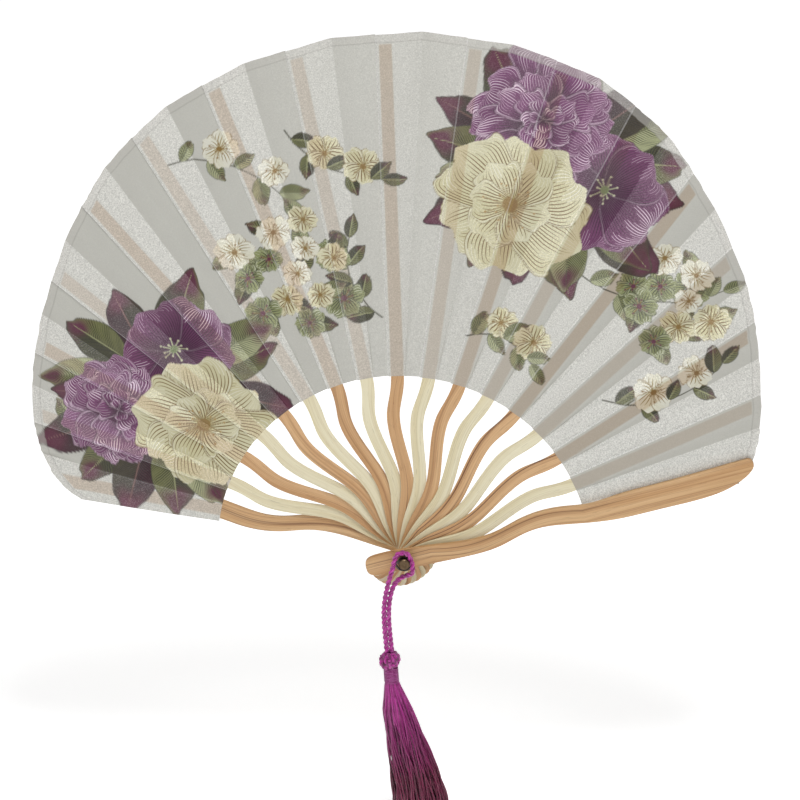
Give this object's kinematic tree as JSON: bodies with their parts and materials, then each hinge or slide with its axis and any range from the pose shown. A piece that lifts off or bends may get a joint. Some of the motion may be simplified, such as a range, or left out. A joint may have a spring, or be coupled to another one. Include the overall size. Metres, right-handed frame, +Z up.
{
  "type": "folding hand fan",
  "caption": "Folding hand fan with wavy bamboo ribs between two guards, a pleated shell-shaped cloth leaf with a floral print, and a tassel on its pivot ring.",
  "frame": {"origin": "on the pivot's axis, at the middle of the closed stack of ribs", "axes": "+Y along the pivot, from the fan's front to its back; +Z up, through the middle of the open fan; +X to the right as seen from the front"},
  "size_m": [0.3799, 0.0441, 0.4267],
  "materials": {
    "bamboo_brown": "satin",
    "bamboo_pale": "satin",
    "leaf_cloth": "pearly satin",
    "pin_metal": "polished",
    "ring_metal": "dark polished",
    "tassel_thread": "silky"
  },
  "bodies": {
    "rear_guard": {"rear_guard": "bamboo_brown", "leaf_bonded_00": "leaf_cloth", "pivot_pin": "pin_metal", "rear_washer": "pin_metal", "pivot_ring": "ring_metal"},
    "front_guard": {"front_guard": "bamboo_brown", "leaf_bonded_16": "leaf_cloth"},
    "rib_01": {"rib_01": "bamboo_pale", "leaf_bonded_01": "leaf_cloth"},
    "rib_02": {"rib_02": "bamboo_brown", "leaf_bonded_02": "leaf_cloth"},
    "rib_03": {"rib_03": "bamboo_pale", "leaf_bonded_03": "leaf_cloth"},
    "rib_04": {"rib_04": "bamboo_brown", "leaf_bonded_04": "leaf_cloth"},
    "rib_05": {"rib_05": "bamboo_pale", "leaf_bonded_05": "leaf_cloth"},
    "rib_06": {"rib_06": "bamboo_brown", "leaf_bonded_06": "leaf_cloth"},
    "rib_07": {"rib_07": "bamboo_pale", "leaf_bonded_07": "leaf_cloth"},
    "rib_08": {"rib_08": "bamboo_brown", "leaf_bonded_08": "leaf_cloth"},
    "rib_09": {"rib_09": "bamboo_pale", "leaf_bonded_09": "leaf_cloth"},
    "rib_10": {"rib_10": "bamboo_brown", "leaf_bonded_10": "leaf_cloth"},
    "rib_11": {"rib_11": "bamboo_pale", "leaf_bonded_11": "leaf_cloth"},
    "rib_12": {"rib_12": "bamboo_brown", "leaf_bonded_12": "leaf_cloth"},
    "rib_13": {"rib_13": "bamboo_pale", "leaf_bonded_13": "leaf_cloth"},
    "rib_14": {"rib_14": "bamboo_brown", "leaf_bonded_14": "leaf_cloth"},
    "rib_15": {"rib_15": "bamboo_pale", "leaf_bonded_15": "leaf_cloth"},
    "pleat_00": {"leaf_free_00": "leaf_cloth"},
    "pleat_01": {"leaf_free_01": "leaf_cloth"},
    "pleat_02": {"leaf_free_02": "leaf_cloth"},
    "pleat_03": {"leaf_free_03": "leaf_cloth"},
    "pleat_04": {"leaf_free_04": "leaf_cloth"},
    "pleat_05": {"leaf_free_05": "leaf_cloth"},
    "pleat_06": {"leaf_free_06": "leaf_cloth"},
    "pleat_07": {"leaf_free_07": "leaf_cloth"},
    "pleat_08": {"leaf_free_08": "leaf_cloth"},
    "pleat_09": {"leaf_free_09": "leaf_cloth"},
    "pleat_10": {"leaf_free_10": "leaf_cloth"},
    "pleat_11": {"leaf_free_11": "leaf_cloth"},
    "pleat_12": {"leaf_free_12": "leaf_cloth"},
    "pleat_13": {"leaf_free_13": "leaf_cloth"},
    "pleat_14": {"leaf_free_14": "leaf_cloth"},
    "pleat_15": {"leaf_free_15": "leaf_cloth"},
    "tassel": {"tassel_cord": "tassel_thread", "tassel_knot": "tassel_thread", "tassel_neck": "tassel_thread", "tassel_skirt": "tassel_thread"}
  },
  "joints": [
    {"name": "front_guard_swing", "type": "hinge", "parent": "rear_guard", "child": "front_guard", "pos_m": [0, 0, 0], "axis": [0, -1, 0], "range_deg": [0, 153.6]},
    {"name": "rib_01_swing", "type": "hinge", "parent": "rear_guard", "child": "rib_01", "pos_m": [0, 0, 0], "axis": [0, -1, 0], "range_deg": [0, 9.6]},
    {"name": "rib_02_swing", "type": "hinge", "parent": "rear_guard", "child": "rib_02", "pos_m": [0, 0, 0], "axis": [0, -1, 0], "range_deg": [0, 19.2]},
    {"name": "rib_03_swing", "type": "hinge", "parent": "rear_guard", "child": "rib_03", "pos_m": [0, 0, 0], "axis": [0, -1, 0], "range_deg": [0, 28.8]},
    {"name": "rib_04_swing", "type": "hinge", "parent": "rear_guard", "child": "rib_04", "pos_m": [0, 0, 0], "axis": [0, -1, 0], "range_deg": [0, 38.4]},
    {"name": "rib_05_swing", "type": "hinge", "parent": "rear_guard", "child": "rib_05", "pos_m": [0, 0, 0], "axis": [0, -1, 0], "range_deg": [0, 48]},
    {"name": "rib_06_swing", "type": "hinge", "parent": "rear_guard", "child": "rib_06", "pos_m": [0, 0, 0], "axis": [0, -1, 0], "range_deg": [0, 57.6]},
    {"name": "rib_07_swing", "type": "hinge", "parent": "rear_guard", "child": "rib_07", "pos_m": [0, 0, 0], "axis": [0, -1, 0], "range_deg": [0, 67.2]},
    {"name": "rib_08_swing", "type": "hinge", "parent": "rear_guard", "child": "rib_08", "pos_m": [0, 0, 0], "axis": [0, -1, 0], "range_deg": [0, 76.8]},
    {"name": "rib_09_swing", "type": "hinge", "parent": "rear_guard", "child": "rib_09", "pos_m": [0, 0, 0], "axis": [0, -1, 0], "range_deg": [0, 86.4]},
    {"name": "rib_10_swing", "type": "hinge", "parent": "rear_guard", "child": "rib_10", "pos_m": [0, 0, 0], "axis": [0, -1, 0], "range_deg": [0, 96]},
    {"name": "rib_11_swing", "type": "hinge", "parent": "rear_guard", "child": "rib_11", "pos_m": [0, 0, 0], "axis": [0, -1, 0], "range_deg": [0, 105.6]},
    {"name": "rib_12_swing", "type": "hinge", "parent": "rear_guard", "child": "rib_12", "pos_m": [0, 0, 0], "axis": [0, -1, 0], "range_deg": [0, 115.2]},
    {"name": "rib_13_swing", "type": "hinge", "parent": "rear_guard", "child": "rib_13", "pos_m": [0, 0, 0], "axis": [0, -1, 0], "range_deg": [0, 124.8]},
    {"name": "rib_14_swing", "type": "hinge", "parent": "rear_guard", "child": "rib_14", "pos_m": [0, 0, 0], "axis": [0, -1, 0], "range_deg": [0, 134.4]},
    {"name": "rib_15_swing", "type": "hinge", "parent": "rear_guard", "child": "rib_15", "pos_m": [0, 0, 0], "axis": [0, -1, 0], "range_deg": [0, 144]},
    {"name": "pleat_00_swing", "type": "hinge", "parent": "rear_guard", "child": "pleat_00", "pos_m": [0, 0, 0], "axis": [0, -1, 0], "range_deg": [0, 4.8]},
    {"name": "pleat_01_swing", "type": "hinge", "parent": "rear_guard", "child": "pleat_01", "pos_m": [0, 0, 0], "axis": [0, -1, 0], "range_deg": [0, 14.4]},
    {"name": "pleat_02_swing", "type": "hinge", "parent": "rear_guard", "child": "pleat_02", "pos_m": [0, 0, 0], "axis": [0, -1, 0], "range_deg": [0, 24]},
    {"name": "pleat_03_swing", "type": "hinge", "parent": "rear_guard", "child": "pleat_03", "pos_m": [0, 0, 0], "axis": [0, -1, 0], "range_deg": [0, 33.6]},
    {"name": "pleat_04_swing", "type": "hinge", "parent": "rear_guard", "child": "pleat_04", "pos_m": [0, 0, 0], "axis": [0, -1, 0], "range_deg": [0, 43.2]},
    {"name": "pleat_05_swing", "type": "hinge", "parent": "rear_guard", "child": "pleat_05", "pos_m": [0, 0, 0], "axis": [0, -1, 0], "range_deg": [0, 52.8]},
    {"name": "pleat_06_swing", "type": "hinge", "parent": "rear_guard", "child": "pleat_06", "pos_m": [0, 0, 0], "axis": [0, -1, 0], "range_deg": [0, 62.4]},
    {"name": "pleat_07_swing", "type": "hinge", "parent": "rear_guard", "child": "pleat_07", "pos_m": [0, 0, 0], "axis": [0, -1, 0], "range_deg": [0, 72]},
    {"name": "pleat_08_swing", "type": "hinge", "parent": "rear_guard", "child": "pleat_08", "pos_m": [0, 0, 0], "axis": [0, -1, 0], "range_deg": [0, 81.6]},
    {"name": "pleat_09_swing", "type": "hinge", "parent": "rear_guard", "child": "pleat_09", "pos_m": [0, 0, 0], "axis": [0, -1, 0], "range_deg": [0, 91.2]},
    {"name": "pleat_10_swing", "type": "hinge", "parent": "rear_guard", "child": "pleat_10", "pos_m": [0, 0, 0], "axis": [0, -1, 0], "range_deg": [0, 100.8]},
    {"name": "pleat_11_swing", "type": "hinge", "parent": "rear_guard", "child": "pleat_11", "pos_m": [0, 0, 0], "axis": [0, -1, 0], "range_deg": [0, 110.4]},
    {"name": "pleat_12_swing", "type": "hinge", "parent": "rear_guard", "child": "pleat_12", "pos_m": [0, 0, 0], "axis": [0, -1, 0], "range_deg": [0, 120]},
    {"name": "pleat_13_swing", "type": "hinge", "parent": "rear_guard", "child": "pleat_13", "pos_m": [0, 0, 0], "axis": [0, -1, 0], "range_deg": [0, 129.6]},
    {"name": "pleat_14_swing", "type": "hinge", "parent": "rear_guard", "child": "pleat_14", "pos_m": [0, 0, 0], "axis": [0, -1, 0], "range_deg": [0, 139.2]},
    {"name": "pleat_15_swing", "type": "hinge", "parent": "rear_guard", "child": "pleat_15", "pos_m": [0, 0, 0], "axis": [0, -1, 0], "range_deg": [0, 148.8]},
    {"name": "tassel_swing", "type": "hinge", "parent": "rear_guard", "child": "tassel", "pos_m": [0, -0.0188, 0], "axis": [0, -1, 0], "range_deg": [-45, 45]}
  ],
  "couplings": [
    {"joint": "rib_01_swing", "follows": "front_guard_swing", "ratio": 0.0625},
    {"joint": "rib_02_swing", "follows": "front_guard_swing", "ratio": 0.125},
    {"joint": "rib_03_swing", "follows": "front_guard_swing", "ratio": 0.1875},
    {"joint": "rib_04_swing", "follows": "front_guard_swing", "ratio": 0.25},
    {"joint": "rib_05_swing", "follows": "front_guard_swing", "ratio": 0.3125},
    {"joint": "rib_06_swing", "follows": "front_guard_swing", "ratio": 0.375},
    {"joint": "rib_07_swing", "follows": "front_guard_swing", "ratio": 0.4375},
    {"joint": "rib_08_swing", "follows": "front_guard_swing", "ratio": 0.5},
    {"joint": "rib_09_swing", "follows": "front_guard_swing", "ratio": 0.5625},
    {"joint": "rib_10_swing", "follows": "front_guard_swing", "ratio": 0.625},
    {"joint": "rib_11_swing", "follows": "front_guard_swing", "ratio": 0.6875},
    {"joint": "rib_12_swing", "follows": "front_guard_swing", "ratio": 0.75},
    {"joint": "rib_13_swing", "follows": "front_guard_swing", "ratio": 0.8125},
    {"joint": "rib_14_swing", "follows": "front_guard_swing", "ratio": 0.875},
    {"joint": "rib_15_swing", "follows": "front_guard_swing", "ratio": 0.9375},
    {"joint": "pleat_00_swing", "follows": "front_guard_swing", "ratio": 0.03125},
    {"joint": "pleat_01_swing", "follows": "front_guard_swing", "ratio": 0.09375},
    {"joint": "pleat_02_swing", "follows": "front_guard_swing", "ratio": 0.15625},
    {"joint": "pleat_03_swing", "follows": "front_guard_swing", "ratio": 0.21875},
    {"joint": "pleat_04_swing", "follows": "front_guard_swing", "ratio": 0.28125},
    {"joint": "pleat_05_swing", "follows": "front_guard_swing", "ratio": 0.34375},
    {"joint": "pleat_06_swing", "follows": "front_guard_swing", "ratio": 0.40625},
    {"joint": "pleat_07_swing", "follows": "front_guard_swing", "ratio": 0.46875},
    {"joint": "pleat_08_swing", "follows": "front_guard_swing", "ratio": 0.53125},
    {"joint": "pleat_09_swing", "follows": "front_guard_swing", "ratio": 0.59375},
    {"joint": "pleat_10_swing", "follows": "front_guard_swing", "ratio": 0.65625},
    {"joint": "pleat_11_swing", "follows": "front_guard_swing", "ratio": 0.71875},
    {"joint": "pleat_12_swing", "follows": "front_guard_swing", "ratio": 0.78125},
    {"joint": "pleat_13_swing", "follows": "front_guard_swing", "ratio": 0.84375},
    {"joint": "pleat_14_swing", "follows": "front_guard_swing", "ratio": 0.90625},
    {"joint": "pleat_15_swing", "follows": "front_guard_swing", "ratio": 0.96875}
  ]
}
